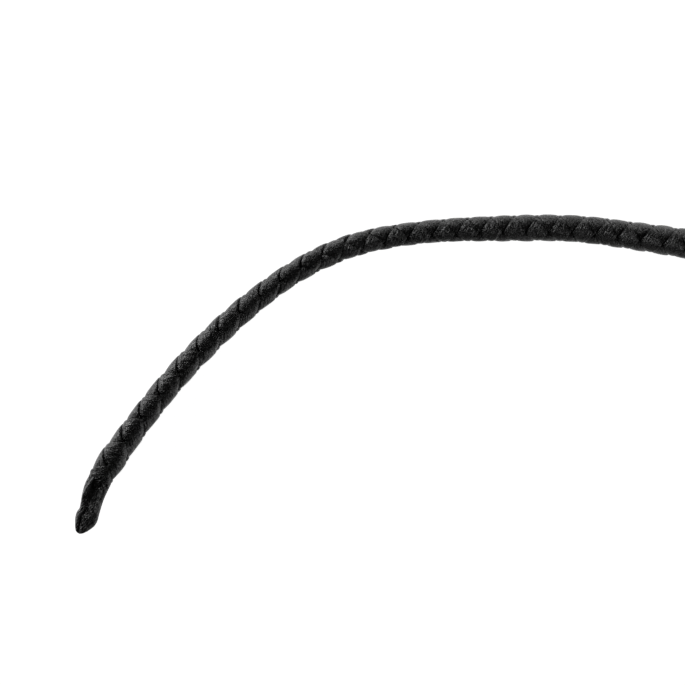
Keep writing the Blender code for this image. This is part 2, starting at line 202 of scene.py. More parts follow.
def ring_faces(rows, columns, closed):
    """Quads through rows of rings, each closed on itself, and the rows' own two ends."""
    faces = []
    for row in range(rows if closed else rows - 1):
        here, there = row * columns, (row + 1) % rows * columns
        for column in range(columns):
            after = (column + 1) % columns
            faces.append((here + column, here + after, there + after, there + column))
    if not closed:
        faces.append(tuple(reversed(range(columns))))
        faces.append(tuple(range((rows - 1) * columns, rows * columns)))
    return faces


def add_rings(name, rings, material, closed=False, edge=None):
    """A closed surface through an array of rings: rows x columns x 3.

    Seen along the rows' order, each ring runs clockwise.
    """
    rows, columns, _ = rings.shape
    faces = ring_faces(rows, columns, closed)
    steps = np.linalg.norm(np.diff(rings.mean(axis=1), axis=0), axis=1)
    along = np.concatenate(([0.0], np.cumsum(steps), [0.0]))
    along[rows] = along[rows - 1] + steps.mean()
    sides = np.linalg.norm(np.roll(rings, -1, axis=1) - rings, axis=2).mean(axis=0)
    across = np.concatenate(([0.0], np.cumsum(sides)))
    lay = []
    for index in range((rows if closed else rows - 1) * columns):
        row, column = divmod(index, columns)
        lay += [(across[column], along[row]), (across[column + 1], along[row]),
                (across[column + 1], along[row + 1]), (across[column], along[row + 1])]
    if not closed:
        lay += [(across[column], along[0]) for column in reversed(range(columns))]
        lay += [(across[column], along[rows - 1]) for column in range(columns)]
    return add_piece(name, rings.reshape(-1, 3), faces, material, lay, edge)


def strip_section(corner_share, corner_steps=4, flat_steps=8):
    """A flat section with rounded edges: points (across, level), each from -1 to 1.

    It runs from the left top to the right top and back underneath.
    """
    flat = np.linspace(-1 + corner_share, 1 - corner_share, flat_steps + 1)
    turns = np.radians(np.linspace(0, 180, 2 * corner_steps + 1)[1:-1])
    right = [(1 - corner_share + corner_share * math.sin(turn), math.cos(turn)) for turn in turns]
    top = [(value, 1.0) for value in flat]
    bottom = [(value, -1.0) for value in flat[::-2]]
    left = [(-value, -level) for value, level in right]
    return np.array(top + right + bottom + left)


def sweep(name, centres, normals, section, material):
    """A section carried round a closed line of centres, its second measure along the normals."""
    centres = np.asarray(centres, float)
    normals = np.asarray(normals, float)
    travel = np.roll(centres, -1, axis=0) - np.roll(centres, 1, axis=0)
    travel /= np.linalg.norm(travel, axis=1, keepdims=True)
    normals = normals - travel * (normals * travel).sum(axis=1, keepdims=True)
    normals /= np.linalg.norm(normals, axis=1, keepdims=True)
    across = np.cross(travel, normals)
    rings = (centres[:, None] + across[:, None] * section[None, :, :1]
             + normals[:, None] * section[None, :, 1:])
    rings[..., 2] = np.maximum(rings[..., 2], RESTING_HEIGHT)
    edge = np.tile(np.abs(section[:, 0]) / np.abs(section[:, 0]).max(), len(centres))
    return add_rings(name, rings, material, True, edge)


# Materials -------------------------------------------------------------------------------------

def node(tree, kind, inputs=(), **settings):
    """A shader node; each input is a value or another node's output."""
    made = tree.nodes.new("ShaderNode" + kind)
    for key, value in settings.items():
        setattr(made, key, value)
    for key, value in dict(inputs).items():
        if isinstance(value, bpy.types.NodeSocket):
            tree.links.new(value, made.inputs[key])
        else:
            made.inputs[key].default_value = value
    return made


def new_material(name):
    material = bpy.data.materials.new(name)
    material.use_nodes = True
    tree = material.node_tree
    tree.nodes.clear()
    shader = node(tree, "BsdfPrincipled")
    node(tree, "OutputMaterial", {"Surface": shader.outputs["BSDF"]})
    return material, tree, shader


def arithmetic(tree, operation, first, second=0.0, clamp=False):
    return node(tree, "Math", {0: first, 1: second}, operation=operation,
                use_clamp=clamp).outputs[0]


def spread(tree, value, low, high, to_low, to_high):
    """Maps a value's range on another one, smoothly."""
    return node(tree, "MapRange", {"Value": value, "From Min": low, "From Max": high,
                                   "To Min": to_low, "To Max": to_high},
                interpolation_type="SMOOTHSTEP").outputs["Result"]


def blend_colours(tree, share, first, second):
    mix = node(tree, "Mix", {0: share, 6: first, 7: second}, data_type="RGBA")
    return mix.outputs[2]


def lay_vector(tree, scale, shift=(0.0, 0.0, 0.0)):
    """The place on the leather, in metres, scaled across and along it."""
    place = node(tree, "UVMap", uv_map="lay").outputs["UV"]
    return node(tree, "Mapping", {"Vector": place, "Scale": scale,
                                  "Location": shift}).outputs["Vector"]


def noise(tree, vector, scale, detail=2.0, roughness=0.5):
    return node(tree, "TexNoise", {"Vector": vector, "Scale": scale, "Detail": detail,
                                   "Roughness": roughness}).outputs["Fac"]


def leather(name, dark=0.0012, light=0.025, gloss=(0.24, 0.42), grain=1.0, streaks=1.0,
            shift=0.0):
    """Black leather: pebbled grain, fibres, folds, a patchy tone, rubbed edges, and pale specks
    that are partly scuffs and partly painted glints.
    """
    worn, scuff_and_glint_tone = 0.024, 0.10
    material, tree, shader = new_material(name)
    place = lay_vector(tree, (1.0, 1.0, 1.0), (shift, shift, 0.0))
    lengthwise = lay_vector(tree, (1.0, 0.16, 1.0), (shift, 0.0, 0.0))
    edge = node(tree, "Attribute", attribute_name="edge").outputs["Fac"]
    clouds = noise(tree, place, 260.0, 4.0, 0.6)
    crumple = noise(tree, place, 1100.0, 4.0, 0.7)
    fibres = noise(tree, lengthwise, 2600.0, 3.0, 0.65)
    pebbles = node(tree, "TexVoronoi", {"Vector": place, "Scale": 2300.0, "Smoothness": 0.7},
                   feature="SMOOTH_F1").outputs["Distance"]
    rubbed = arithmetic(tree, "MULTIPLY", spread(tree, edge, 0.80, 0.98, 0.0, 1.0),
                        spread(tree, crumple, 0.42, 0.62, 0.15, 1.0))
    mottle = arithmetic(tree, "ADD", arithmetic(tree, "MULTIPLY", clouds, 0.5),
                        arithmetic(tree, "MULTIPLY", crumple, 0.5))
    tone = blend_colours(tree, spread(tree, mottle, 0.42, 0.62, 0.0, 1.0),
                         (dark, dark, dark, 1.0), (light, light, light, 1.0))
    tone = blend_colours(tree, rubbed, tone, (worn, worn, worn, 1.0))
    # pale specks lighten the base colour: partly scuffs, partly painted glints
    scuff_and_glint_spots = noise(tree, place, 1900.0, 1.0, 0.4)
    tone = blend_colours(tree, spread(tree, scuff_and_glint_spots, 0.66, 0.74, 0.0, 1.0), tone,
                         (scuff_and_glint_tone, scuff_and_glint_tone, scuff_and_glint_tone, 1.0))
    rough = spread(tree, crumple, 0.30, 0.70, gloss[0], gloss[1])
    folds = noise(tree, lay_vector(tree, (1.0, 0.45, 1.0), (shift, 0.0, 0.0)), 750.0, 3.0, 0.6)
    folded = node(tree, "Bump", {"Height": folds, "Strength": 1.0, "Distance": 0.00095})
    heights = arithmetic(tree, "MULTIPLY", crumple, 1.2)
    heights = arithmetic(tree, "ADD", heights, arithmetic(tree, "MULTIPLY", fibres, streaks))
    heights = arithmetic(tree, "ADD", heights, arithmetic(tree, "MULTIPLY", pebbles, grain))
    bump = node(tree, "Bump", {"Height": heights, "Strength": 1.0, "Distance": 0.00027,
                               "Normal": folded.outputs["Normal"]})
    tree.links.new(folded.outputs["Normal"], shader.inputs["Coat Normal"])
    tree.links.new(tone, shader.inputs["Base Color"])
    tree.links.new(rough, shader.inputs["Roughness"])
    tree.links.new(bump.outputs["Normal"], shader.inputs["Normal"])
    shader.inputs["Coat Weight"].default_value = 0.62
    shader.inputs["Coat Roughness"].default_value = 0.20
    return material


def waxed_thread(name):
    """Twisted black thread, dulled by its wax."""
    dark, light = 0.008, 0.0288
    material, tree, shader = new_material(name)
    place = lay_vector(tree, (1.0, 1.0, 1.0))
    twist = node(tree, "TexWave", {"Vector": place, "Scale": 420.0, "Distortion": 1.2,
                                   "Detail": 2.0}, wave_type="BANDS",
                 bands_direction="DIAGONAL").outputs["Fac"]
    fuzz = noise(tree, place, 3000.0, 3.0)
    colour = blend_colours(tree, fuzz, (dark, dark, dark, 1.0), (light, light, light, 1.0))
    heights = arithmetic(tree, "ADD", twist, fuzz)
    bump = node(tree, "Bump", {"Height": heights, "Strength": 0.7, "Distance": 0.00008})
    tree.links.new(colour, shader.inputs["Base Color"])
    tree.links.new(spread(tree, fuzz, 0.3, 0.7, 0.42, 0.62), shader.inputs["Roughness"])
    tree.links.new(bump.outputs["Normal"], shader.inputs["Normal"])
    return material


def solid_finish(name, low, high, gloss, scale, stretch=(1.0, 1.0, 1.0), metallic=0.0,
                 depth=0.00002, coat=0.0):
    """Rod, wood, lacquer or steel: two tones and two roughnesses mixed by a stretched noise."""
    material, tree, shader = new_material(name)
    place = node(tree, "TexCoord").outputs["Object"]
    vector = node(tree, "Mapping", {"Vector": place, "Scale": stretch}).outputs["Vector"]
    grain = noise(tree, vector, scale, 5.0, 0.6)
    colour = blend_colours(tree, spread(tree, grain, 0.3, 0.7, 0.0, 1.0), (*low, 1.0), (*high, 1.0))
    bump = node(tree, "Bump", {"Height": grain, "Strength": 0.5, "Distance": depth})
    tree.links.new(colour, shader.inputs["Base Color"])
    tree.links.new(spread(tree, grain, 0.3, 0.7, gloss[0], gloss[1]), shader.inputs["Roughness"])
    tree.links.new(bump.outputs["Normal"], shader.inputs["Normal"])
    shader.inputs["Metallic"].default_value = metallic
    shader.inputs["Coat Weight"].default_value = coat
    shader.inputs["Coat Roughness"].default_value = 0.08
    return material


PLAIT_LEATHER = [leather(f"plait_leather_{number}", shift=0.37 * number) for number in range(1, 5)]
TONGUE_LEATHER = leather("tongue_leather", light=0.070, gloss=(0.30, 0.48), streaks=1.4, shift=2.1)
HANDLE_LEATHER = leather("handle_leather", grain=1.8, streaks=0.3, shift=3.3)
KNOT_LEATHER = leather("knot_leather", streaks=0.8, shift=4.7)
STRAP_LEATHER = leather("strap_leather", streaks=0.6, grain=1.3, shift=5.9)
BELLY_LEATHER = leather("belly_leather", dark=0.02, light=0.05, gloss=(0.5, 0.7), shift=7.1)
THREAD = waxed_thread("waxed_thread")
CORE_ROD = solid_finish("core_rod", (0.50, 0.47, 0.38), (0.66, 0.63, 0.54), (0.3, 0.5), 900.0,
                        (0.1, 0.1, 1.0))
HANDLE_WOOD = solid_finish("handle_wood", (0.30, 0.18, 0.09), (0.52, 0.36, 0.20), (0.45, 0.65),
                           700.0, (0.06, 1.0, 1.0))
CAP_LACQUER = solid_finish("cap_lacquer", (0.010, 0.010, 0.011), (0.017, 0.017, 0.018),
                           (0.24, 0.34), 350.0, coat=0.5)
PLATED_STEEL = solid_finish("plated_steel", (0.50, 0.50, 0.50), (0.66, 0.66, 0.66), (0.18, 0.32),
                            1500.0, (1.0, 1.0, 0.2), metallic=1.0, depth=0.00001)


# Plait -----------------------------------------------------------------------------------------

def plait_radius(place):
    """The plait's outer radius: a swelling at the tongue, a waist, then a taper to the handle."""
    swelling = 0.00030 * np.exp(-((place - 0.027) / 0.006) ** 2)
    waist = 0.00385 - 0.00038 * ease(place, 0.070, 0.110) + 0.00060 * ease(place, 0.155, 0.195)
    return waist + swelling + 0.00185 * ease(place, 0.190, 0.350)


def plait_pitch(place):
    """The length in which a lace winds once round the shaft."""
    tight = 0.0193 - 0.0028 * ease(place, 0.065, 0.110) - 0.0015 * ease(place, 0.130, 0.200)
    return tight + 0.0040 * ease(place, 0.250, 0.370)


def column_turn(place):
    """The rows of crossings, which twist part of a turn where the shaft bends most."""
    return np.radians(-85 + 60 * ease(place, TWIST_START, TWIST_END))


def plait_flatness(place):
    """The plait flattens where it runs into the tongue."""
    return 0.50 + 0.50 * ease(place, 0.012, 0.031)


WINDING_PLACES = np.arange(0.0, 0.45, ROUTE_STEP)
WINDING_RATES = 2 * math.pi / plait_pitch((WINDING_PLACES[1:] + WINDING_PLACES[:-1]) / 2)
WINDING = np.concatenate(([0.0], np.cumsum(WINDING_RATES) * ROUTE_STEP))
WINDING += PHASE_SHIFT - np.interp(WINDING_START, WINDING_PLACES, WINDING)


def winding_at(place):
    return float(np.interp(place, WINDING_PLACES, WINDING))


def crossing_height(along):
    """How far a lace stands over, or lies under, the laces it crosses: level over each crossing."""
    wave, softness = np.cos(along), CROSSING_SOFTNESS
    return wave / np.sqrt(wave ** 2 + softness ** 2) * math.sqrt(1 + softness ** 2)


def lace_grid(sense, number, phases):
    """A lace's rings at each phase along it, and how near each point is to its cut edges."""
    section = strip_section(LACE_CORNER / LACE_HALF_WIDTH, corner_steps=4, flat_steps=14)
    across = section[None, :, 0] * LACE_REACH
    along = phases[:, None]
    place = np.interp((along - across) / 2, WINDING, WINDING_PLACES)
    turn = sense * ((along + across) / 2 + number * math.pi) + column_turn(place)
    own = 3.1 * number + 1.7 * sense
    ripple = (0.00007 * np.sin(0.83 * along + 1.3 * own) * np.cos(1.7 * across + own)
              + 0.00005 * np.sin(2.3 * along + 2.0 * across + 2.9 * own)
              + 0.00004 * np.sin(0.31 * along + own))
    start_sink = 0.0009 * (1 - ease(place, 0.0135, 0.0200))
    thickness = LACE_THICKNESS * (0.45 + 0.55 * ease(place, 0.013, 0.021))
    middle = plait_radius(place) + 0.00016 - LACE_LIFT - LACE_THICKNESS / 2 - start_sink
    tilt = LACE_TILT * (1 - TILT_LOSS * ease(place, TWIST_START, TWIST_END))
    middle = middle + sense * crossing_height(along) * LACE_LIFT - tilt * section[None, :, 0]
    crown = LACE_CROWN * (1 - section[None, :, 0] ** 2)
    top_share = (section[None, :, 1] + 1) / 2
    radius = middle + section[None, :, 1] * thickness / 2 + (crown + ripple) * top_share
    rings = around(place, turn, radius, plait_flatness(place))
    rings[..., 2] = np.maximum(rings[..., 2], RESTING_HEIGHT)
    edge = np.broadcast_to(np.abs(section[None, :, 0]), place.shape)
    return rings, edge


def hidden_phase(sense, place):
    """The phase, near a place, at which a lace runs under the middle of a crossing."""
    under = math.pi if sense > 0 else 0.0
    return under + 2 * math.pi * round((2 * winding_at(place) - under) / (2 * math.pi))


def add_laces():
    for index, (sense, number) in enumerate(LACE_PAIRS, 1):
        cuts = [2 * winding_at(PLAIT_START)] + [hidden_phase(sense, place) for place in LACE_CUTS]
        cuts.append(2 * winding_at(PLAIT_END))
        parts = ("end", "front", "rear")
        stood_for = ((), ("_tip", "_mid"), ("_rear",))
        for part, start, end, nodes in zip(parts, cuts, cuts[1:], stood_for):
            count = round((end - start) / PHASE_STEP) + 1
            phases = np.linspace(start + END_GAP, end - END_GAP, count)
            rings, edge = lace_grid(sense, number, phases)
            if sense < 0:
                rings, edge = rings[:, ::-1], edge[:, ::-1]
            piece = add_rings(f"lace_{index}_{part}", rings, PLAIT_LEATHER[index - 1],
                              edge=edge)
            bend_part(piece, part)
            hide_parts(*[f"plait_lace_{index}{node_end}" for node_end in nodes])


def bend_part(piece, part):
    """Bakes the piece's placement into its mesh; the joint's bodies and the route points either
    side of it are looked up, but nothing uses them to bend the piece.
    """
    bodies, station, reach = {
        "end": (("shaft_tip", "tongue_flap"), TONGUE_HINGE, TONGUE_SPREAD),
        "front": (("shaft_mid", "shaft_tip"), TIP_FLEX, FLEX_SPREAD),
        "rear": (("handle", "shaft_mid"), REAR_FLEX, FLEX_SPREAD),
    }[part]
    route_point(station + reach)
    route_point(station - reach)
    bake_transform(piece)


def turned_rings(places, radii, sides):
    turns = -2 * math.pi * np.arange(sides) / sides
    return around(np.asarray(places)[:, None], turns[None, :], np.asarray(radii)[:, None])


def core_radius(place):
    return 0.00095 + 0.00105 * ease(place, 0.150, 0.470)


def add_cores():
    """The springy core and the belly, which the laces hide."""
    for part, start, end, nodes in (("front", 0.030, 0.225, ("_tip", "_mid")),
                                    ("rear", 0.225, 0.472, ("_rear",))):
        places = np.arange(start, end + 0.001, 0.0025)
        radii = core_radius(places) + 0.00003 * np.cos(places * 2 * math.pi / 0.005)
        piece = add_rings(f"core_{part}", turned_rings(places, radii, 16), CORE_ROD)
        bend_part(piece, part)
        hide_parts(*[f"shaft_core{node_end}" for node_end in nodes])
    places = np.linspace(0.240, PLAIT_END, 75)
    radii = 0.83 * (plait_radius(places) - 0.0018) - GAP
    piece = add_rings("belly", turned_rings(places, radii, 24), BELLY_LEATHER)
    bend_part(piece, "rear")
    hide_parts("belly_mid", "belly_rear")


# Tongue ----------------------------------------------------------------------------------------

TONGUE_UPPER = ((-0.0009, 0.0009), (-0.0005, 0.0019), (0.0005, 0.0027), (0.0022, 0.0033),
                (0.0042, 0.0038), (0.0060, 0.00375), (0.0073, 0.0033), (0.0088, 0.0034),
                (0.0120, 0.0038), (0.0160, 0.0040), (0.0190, 0.0036), (0.0250, 0.0028))
TONGUE_LOWER = ((-0.0009, 0.0009), (-0.0006, 0.0001), (0.0002, -0.0010), (0.0014, -0.0021),
                (0.0028, -0.0031), (0.0045, -0.0036), (0.0070, -0.0036), (0.0110, -0.0036),
                (0.0155, -0.0039), (0.0180, -0.0040), (0.0205, -0.0037), (0.0250, -0.0028))
TONGUE_START, TONGUE_END = TONGUE_UPPER[0][0], 0.0245
TONGUE_HALF_THICKNESS = 0.00115


def outline_at(outline, place):
    """A smooth line through the outline's points."""
    places, values = np.array(outline).T
    slopes = np.gradient(values, places)
    index = np.clip(np.searchsorted(places, place) - 1, 0, len(places) - 2)
    step = places[index + 1] - places[index]
    share = (place - places[index]) / step
    rise = values[index + 1] - values[index]
    curve = share * share * (3 - 2 * share)
    bend = share * (1 - share) * ((1 - share) * (slopes[index] * step) - share
                                  * (slopes[index + 1] * step))
    return values[index] + rise * curve + bend


def ridge(across, place, line, width, height):
    """A raised fold, or with a negative height a groove, along a line of (place, across) points."""
    at, middle = np.array(line).T
    offset = across - np.interp(place, at, middle)
    fade = ease(place, at[0], at[0] + 0.0015) * (1 - ease(place, at[-1] - 0.0015, at[-1]))
    return height * fade * np.exp(-(offset / width) ** 2)


def tongue_relief(place, across):
    """The folds of the doubled strip that the tongue is made of."""
    beads = 1 + 0.35 * np.sin(2 * math.pi * place / 0.0021)
    relief = ridge(across, place, ((0.0105, 0.0034), (0.0150, 0.0026), (0.0225, 0.0010)),
                   0.0005, 0.00105)
    relief += ridge(across, place, ((0.0130, 0.0037), (0.0170, 0.0035), (0.0215, 0.0031)),
                    0.0003, 0.00030)
    relief += ridge(across, place, ((0.0020, 0.0026), (0.0040, 0.0028), (0.0060, 0.0027)),
                    0.0005, 0.00035)
    relief += ridge(across, place, ((0.0065, -0.0023), (0.0120, -0.0020), (0.0240, -0.0013)),
                    0.0004, 0.00045) * beads
    relief += ridge(across, place, ((0.0050, 0.0004), (0.0100, 0.0008), (0.0240, 0.0006)),
                    0.0012, -0.00040)
    relief += ridge(across, place, ((-0.0012, 0.0012), (0.0053, 0.0018), (0.0085, 0.0006)),
                    0.00030, -0.00040)
    relief += 0.00013 * np.sin(across * 5200 + 900 * place) * np.sin(place * 3100 + across * 1900)
    return relief


def add_tongue():
    shares = np.linspace(0.012, 1.0, 110)
    places = TONGUE_START + (TONGUE_END - TONGUE_START) * shares ** 1.35
    section = strip_section(0.24, corner_steps=6, flat_steps=40)
    upper = outline_at(TONGUE_UPPER, places)[:, None]
    lower = outline_at(TONGUE_LOWER, places)[:, None]
    across = (upper + lower) / 2 - section[None, :, 0] * (upper - lower) / 2
    rounding = np.sqrt(1 - (1 - np.clip((places - TONGUE_START) / 0.0011, 0, 1)) ** 2)[:, None]
    sleeve = 1 - 0.3 * ease(places, 0.018, TONGUE_END)[:, None]
    level = section[None, :, 1] * TONGUE_HALF_THICKNESS * rounding * sleeve
    dome = 0.00055 * (1 - section[None, :, 0] ** 2)
    top_share = np.clip(section[None, :, 1], 0, 1)
    level = level + (dome + tongue_relief(places[:, None], across)) * top_share * rounding
    centre, _, side, up = route_frame(places)
    rings = centre[:, None] + side[:, None] * across[..., None] + up[:, None] * level[..., None]
    edge = np.broadcast_to(np.abs(section[None, :, 0]), across.shape)
    piece = add_rings("tongue_strip", rings[:, ::-1], TONGUE_LEATHER,
                      edge=edge[:, ::-1])
    bend_part(piece, "end")
    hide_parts("tongue")


# Handle ----------------------------------------------------------------------------------------

def add_binding():
    """Waxed thread wound over the plait's end: one screw-shaped surface of touching turns."""
    sides = 72
    places = np.arange(BINDING_OUTLINE[0][0], BINDING_OUTLINE[-1][0], WINDING_THREAD / 7)
    turns = -2 * math.pi * np.arange(sides) / sides
    base = np.interp(places, *np.array(BINDING_OUTLINE).T)[:, None]
    screw = (places[:, None] / WINDING_THREAD + turns[None, :] / (2 * math.pi)) % 1.0
    radius = base + 0.00022 * np.sqrt(np.clip(1 - (2 * screw - 1) ** 2, 0, 1))
    rings = around(places[:, None], turns[None, :], radius)
    piece = add_rings("binding_windings", rings, THREAD)
    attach(piece, "handle")
    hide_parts("front_binding")


def add_cover():
    """The handle's leather cover, with a butted seam that a row of stitches closes."""
    sides, rows = 128, 320
    places = np.linspace(COVER_START, COVER_END, rows)[:, None]
    turns = (SEAM_TURN - 2 * math.pi * np.arange(sides) / sides)[None, :]
    off_seam = np.abs((turns - SEAM_TURN + math.pi) % (2 * math.pi) - math.pi) * COVER_RADIUS
    rounding = COVER_ROUNDING * (1 - ease(places, COVER_START - 0.0002, COVER_START + 0.0012))
    rounding = rounding + COVER_ROUNDING * ease(places, COVER_END - 0.0012, COVER_END + 0.0002)
    swell = 0.00010 * np.sin(places * 210) * np.sin(3 * turns + places * 60)
    raised = 0.00030 * np.exp(-(off_seam / 0.0016) ** 2)
    groove = 0.00060 * np.exp(-(off_seam / 0.00030) ** 2)
    puckers = (0.00010 * np.cos(places * 2 * math.pi / SEAM_STITCH_SPACING)
               * np.exp(-(off_seam / 0.0028) ** 2))
    radius = COVER_RADIUS + raised - groove + puckers + swell - rounding
    edge = np.exp(-(off_seam / 0.0006) ** 2) + 0 * places
    piece = add_rings("handle_wrap", around(places, turns, radius), HANDLE_LEATHER,
                      edge=edge)
    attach(piece, "handle")
    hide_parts("handle_cover")
    share = np.linspace(-1, 1, 9)
    turn = SEAM_TURN + share * 0.0018 / COVER_RADIUS
    height = COVER_RADIUS + SEAM_THREAD_RADIUS + 0.00022 * (1 - share ** 4) - 0.0004 * share ** 8
    lines = [around(place + lean * share * 0.0010, turn, height + 0.00005 * lean)
             for place in np.arange(SEAM_STITCH_START, SEAM_STITCH_END, SEAM_STITCH_SPACING)
             for lean in (1, -1)]
    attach(add_threads("seam_stitches", lines, SEAM_THREAD_RADIUS), "handle")


def add_threads(name, lines, radius, sides=8):
    """Short rounded lengths of thread, each along its own line of points."""
    points, faces, lay = [], [], []
    for line in lines:
        travel = np.gradient(line, axis=0)
        travel /= np.linalg.norm(travel, axis=1, keepdims=True)
        level = abs(travel[:, 2]).max() < 0.8
        first = np.cross(travel, (0.0, 0.0, 1.0) if level else (1.0, 0.0, 0.0))
        first /= np.linalg.norm(first, axis=1, keepdims=True)
        second = np.cross(travel, first)
        shares = np.linspace(-1, 1, len(line))
        radii = radius * np.sqrt(np.clip(1.02 - shares ** 6, 0.02, 1))
        start = len(points)
        turns = 2 * math.pi * np.arange(sides) / sides
        for centre, one, two, size in zip(line, first, second, radii):
            for turn in turns:
                points.append(centre + (math.cos(turn) * one + math.sin(turn) * two) * size)
        for face in ring_faces(len(line), sides, False):
            faces.append(tuple(start + corner for corner in face))
            lay += [(corner % sides * radius, corner // sides * radius) for corner in face]
    return add_piece(name, points, faces, THREAD, lay)


def knot_bed(place):
    """The radius of what a knot lies on: the binding, then the handle's cover."""
    places, radii = np.array(BINDING_OUTLINE + ((COVER_START + 0.0008, COVER_RADIUS),)).T
    return np.interp(place, places, radii) + 0.00030


def add_knot(name, middle):
    """A doubled Turk's head: a lace that weaves itself, and its second pass beside the first."""
    phase = 2 * math.pi * np.arange(720) / 720
    weave = np.sin(2 * KNOT_BIGHTS * phase)
    weave = weave / np.sqrt(weave ** 2 + 0.22) * math.sqrt(1.22)
    at_bight = np.cos(KNOT_BIGHTS * phase) ** 8
    lift = KNOT_LIFT * (weave * (1 - at_bight) - at_bight)
    place = middle + KNOT_HALF_LENGTH * np.cos(KNOT_BIGHTS * phase)
    turn = KNOT_LEADS * phase
    place_rate = -KNOT_HALF_LENGTH * KNOT_BIGHTS * np.sin(KNOT_BIGHTS * phase)
    round_rate = KNOT_LEADS * (COVER_RADIUS + KNOT_LACE_THICKNESS)
    rate = np.hypot(place_rate, round_rate)
    section = strip_section(0.16, corner_steps=3, flat_steps=8)
    crowned = section[:, 1] + 0.45 * (1 - section[:, 0] ** 2) * (section[:, 1] > 0)
    section = np.stack((section[:, 0] * KNOT_LACE_WIDTH / 2, crowned * KNOT_LACE_THICKNESS / 2),
                       axis=1)
    for pass_name, offset in (("first", KNOT_PASS_OFFSET), ("second", -KNOT_PASS_OFFSET)):
        pass_place = place + offset * round_rate / rate
        pass_turn = turn - offset * place_rate / rate / (COVER_RADIUS + KNOT_LACE_THICKNESS)
        radius = knot_bed(pass_place) + KNOT_LACE_THICKNESS / 2 + KNOT_LIFT + lift
        centres = around(pass_place, pass_turn, radius)
        normals = centres - around(pass_place, pass_turn, 0.0)
        piece = sweep(f"{name}_{pass_name}_pass", centres, normals, section, KNOT_LEATHER)
        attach(piece, "handle")
        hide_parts(name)


def add_cutter(centre, sizes, sides=0):
    """A box, or with sides an upright rod, that cuts a hole."""
    form = bmesh.new()
    if sides:
        bmesh.ops.create_cone(form, cap_ends=True, segments=sides, radius1=0.5, radius2=0.5,
                              depth=1)
    else:
        bmesh.ops.create_cube(form, size=1.0)
    bmesh.ops.scale(form, vec=sizes, verts=form.verts)
    bmesh.ops.translate(form, vec=centre, verts=form.verts)
    mesh = bpy.data.meshes.new("cutter")
    form.to_mesh(mesh)
    form.free()
    cutter = bpy.data.objects.new("cutter", mesh)
    bpy.context.scene.collection.objects.link(cutter)
    return cutter


def carve(piece, cutters):
    """Cuts the cutters out of a piece and rounds the edges that they leave."""
    for cutter in cutters:
        cut = piece.modifiers.new("cut", "BOOLEAN")
        cut.object, cut.operation, cut.solver = cutter, "DIFFERENCE", "EXACT"
    bevel = piece.modifiers.new("rounded_edges", "BEVEL")
    bevel.width, bevel.segments = CARVED_EDGE, CARVED_EDGE_STEPS
    bevel.limit_method, bevel.angle_limit = "ANGLE", math.radians(50)
    seen = piece.evaluated_get(bpy.context.evaluated_depsgraph_get())
    carved = bpy.data.meshes.new_from_object(seen)
    piece.modifiers.clear()
    piece.data = carved
    carved.set_sharp_from_angle(angle=math.radians(40))
    for cutter in cutters:
        bpy.data.objects.remove(cutter)


def add_cap():
    """The turned butt cap, with two fine grooves, the strap's slot and the pin's hole."""
    places = np.linspace(CAP_OUTLINE[0][0], CAP_OUTLINE[-1][0], 110)
    radii = outline_at(CAP_OUTLINE, places)
    for groove in CAP_GROOVES:
        radii -= GROOVE_DEPTH * np.exp(-((places - groove) / GROOVE_HALF_WIDTH) ** 2)
    piece = add_rings("turned_cap", turned_rings(places, radii, 120), CAP_LACQUER)
    slot_start, slot_end = PIN_CENTRE.x - SLOT_DEPTH, PIN_CENTRE.x + SLOT_OPENING
    slot = add_cutter(((slot_start + slot_end) / 2, PIN_CENTRE.y, PIN_CENTRE.z),
                      (slot_end - slot_start, CUTTER_SPAN, 2 * SLOT_HALF_HEIGHT))
    hole_width = 2 * (PIN_RADIUS + GAP)
    hole = add_cutter(PIN_CENTRE, (hole_width, hole_width, CUTTER_SPAN), 32)
    carve(piece, (slot, hole))
    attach(piece, "handle")
    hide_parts("butt_cap")


# Wrist strap -----------------------------------------------------------------------------------

def strap_half_outline():
    """One half of the strap's middle line, from behind the pin to the loop's far end."""
    leg = (STRAP_THICKNESS + GAP) / 2
    eye = PIN_RADIUS + GAP + STRAP_THICKNESS / 2
    outline = [(eye * math.cos(math.radians(turn)), eye * math.sin(math.radians(turn)))
               for turn in range(180, 44, -15)]
    outline += [(0.0034, 0.00135), (0.0050, leg), (0.0240, leg), (STRAP_PARALLEL, leg)]
    for degrees in range(15, 181, 11):
        turn = math.radians(degrees)
        widening = math.sin(turn) * math.sin(turn / 2) ** 2 / 0.65
        outline.append((STRAP_PARALLEL + STRAP_LOOP * (1 - math.cos(turn)) / 2,
                        leg * math.cos(turn / 2) ** 2 + STRAP_HALF_SPREAD * widening))
    return outline


def resample(points, spacing):
    """A closed line's points at an even spacing."""
    closed = np.vstack((points, points[:1]))
    steps = np.concatenate(([0.0], np.cumsum(np.linalg.norm(np.diff(closed, axis=0), axis=1))))
    places = np.linspace(0, steps[-1], round(steps[-1] / spacing) + 1)[:-1]
    return np.stack([np.interp(places, steps, closed[:, axis])
                     for axis in range(closed.shape[1])], axis=1)


def strap_line():
    """The strap's smoothed middle line, and the outward normals of its flat side."""
    half = strap_half_outline()
    flat = np.array(half + [(x, -y) for x, y in reversed(half[1:-1])])
    flat = resample(flat, 0.0006)
    for _ in range(3):
        flat = (np.roll(flat, 1, axis=0) + 2 * flat + np.roll(flat, -1, axis=0)) / 4
    drop = STRAP_DROOP * ease(flat[:, 0], STRAP_PARALLEL, STRAP_PARALLEL + STRAP_LOOP)
    line = stack(PIN_CENTRE.x + flat[:, 0], PIN_CENTRE.y + flat[:, 1], PIN_CENTRE.z - drop)
    travel = np.roll(line, -1, axis=0) - np.roll(line, 1, axis=0)
    normals = stack(travel[:, 1], -travel[:, 0], 0.0)
    return line, normals / np.linalg.norm(normals, axis=1, keepdims=True)


